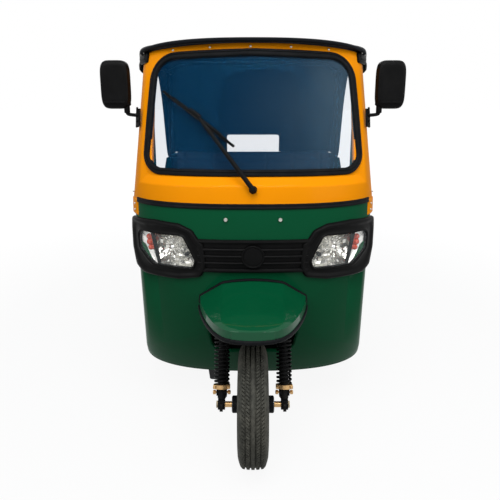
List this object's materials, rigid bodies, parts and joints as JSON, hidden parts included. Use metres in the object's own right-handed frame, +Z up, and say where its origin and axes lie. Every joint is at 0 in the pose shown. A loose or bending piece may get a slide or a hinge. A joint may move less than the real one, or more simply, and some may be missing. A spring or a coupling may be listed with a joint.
{
  "type": "enclosed electric passenger three-wheeler",
  "caption": "Small electric passenger three-wheeler with a steel cowl and windscreen, canvas hood, open sides, bench seat, steered front wheel and rear hatch.",
  "frame": {"origin": "on the ground under the middle of the overall length and width", "axes": "+X to the vehicle's left, +Y rearwards, +Z up"},
  "size_m": [1.3, 2.65, 1.7],
  "materials": {
    "green_paint": "gloss",
    "yellow_paint": "gloss",
    "black_rubber": "matte",
    "tinted_glass": "gloss",
    "black_plastic": "satin",
    "reflector": "gloss",
    "clear_glass": "gloss",
    "bright_steel": "satin",
    "hood_canvas": "matte",
    "black_steel": "satin",
    "seat_vinyl": "satin",
    "red_lens": "gloss",
    "grey_case": "satin",
    "cast_alloy": "matte",
    "gold_steel": "satin",
    "tyre_rubber": "matte",
    "wheel_silver": "satin"
  },
  "bodies": {
    "body": {"front_cowl": "green_paint", "windscreen_frame": "yellow_paint", "belt_strip": "black_rubber", "windscreen_gasket": "black_rubber", "windscreen_glass": "tinted_glass", "wiper": "black_plastic", "lamp_mask": "black_plastic", "headlamp_bowls": "reflector", "headlamp_lenses": "clear_glass", "plate_studs": "bright_steel", "mudguard": "green_paint", "mirrors": "black_plastic", "hood": "hood_canvas", "hood_back": "hood_canvas", "rear_window": "clear_glass", "hood_frame": "black_steel", "hood_clamps": "black_plastic", "cabin_posts": "green_paint", "floor_pan": "black_steel", "side_sills": "green_paint", "chassis_frame": "black_steel", "wheel_housing": "black_steel", "dashboard": "black_plastic", "driver_seat_base": "black_steel", "driver_seat_cushion": "seat_vinyl", "driver_seat_back": "seat_vinyl", "passenger_seat_base": "black_steel", "passenger_seat_cushion": "seat_vinyl", "passenger_seat_back": "seat_vinyl", "rear_inner_body": "black_steel", "quarter_panel_left": "green_paint", "quarter_panel_right": "green_paint", "tail_panel": "green_paint", "tail_lamps": "red_lens", "rear_bumper": "black_steel", "battery_pack": "grey_case", "drive_unit": "cast_alloy", "trailing_arms": "black_steel", "rear_shocks": "black_steel", "mud_flaps": "black_rubber", "splash_flap": "black_rubber"},
    "steering": {"fork": "black_steel", "front_axle": "bright_steel", "front_shocks": "black_steel", "shock_clamps": "gold_steel", "front_springs": "black_steel", "handlebar": "black_plastic"},
    "front_wheel_set": {"front_tyre": "tyre_rubber", "front_wheel": "wheel_silver"},
    "rear_wheel_set_left": {"rear_tyre_left": "tyre_rubber", "rear_wheel_left": "wheel_silver"},
    "rear_wheel_set_right": {"rear_tyre_right": "tyre_rubber", "rear_wheel_right": "wheel_silver"},
    "hatch": {"rear_hatch": "green_paint"}
  },
  "joints": [
    {"name": "steering", "type": "hinge", "parent": "body", "child": "steering", "pos_m": [0, -1.0515, 0.2375], "axis": [0, 0.3746, 0.9272], "range_deg": [-40, 40]},
    {"name": "front_wheel_spin", "type": "hinge", "parent": "steering", "child": "front_wheel_set", "pos_m": [0, -1.0875, 0.2375], "axis": [1, 0, 0], "continuous": true},
    {"name": "rear_wheel_spin_left", "type": "hinge", "parent": "body", "child": "rear_wheel_set_left", "pos_m": [0.575, 0.8975, 0.2375], "axis": [1, 0, 0], "continuous": true},
    {"name": "rear_wheel_spin_right", "type": "hinge", "parent": "body", "child": "rear_wheel_set_right", "pos_m": [-0.575, 0.8975, 0.2375], "axis": [1, 0, 0], "continuous": true},
    {"name": "hatch_hinge", "type": "hinge", "parent": "body", "child": "hatch", "pos_m": [0, 1.279, 0.936], "axis": [1, 0, 0], "range_deg": [0, 75]}
  ]
}
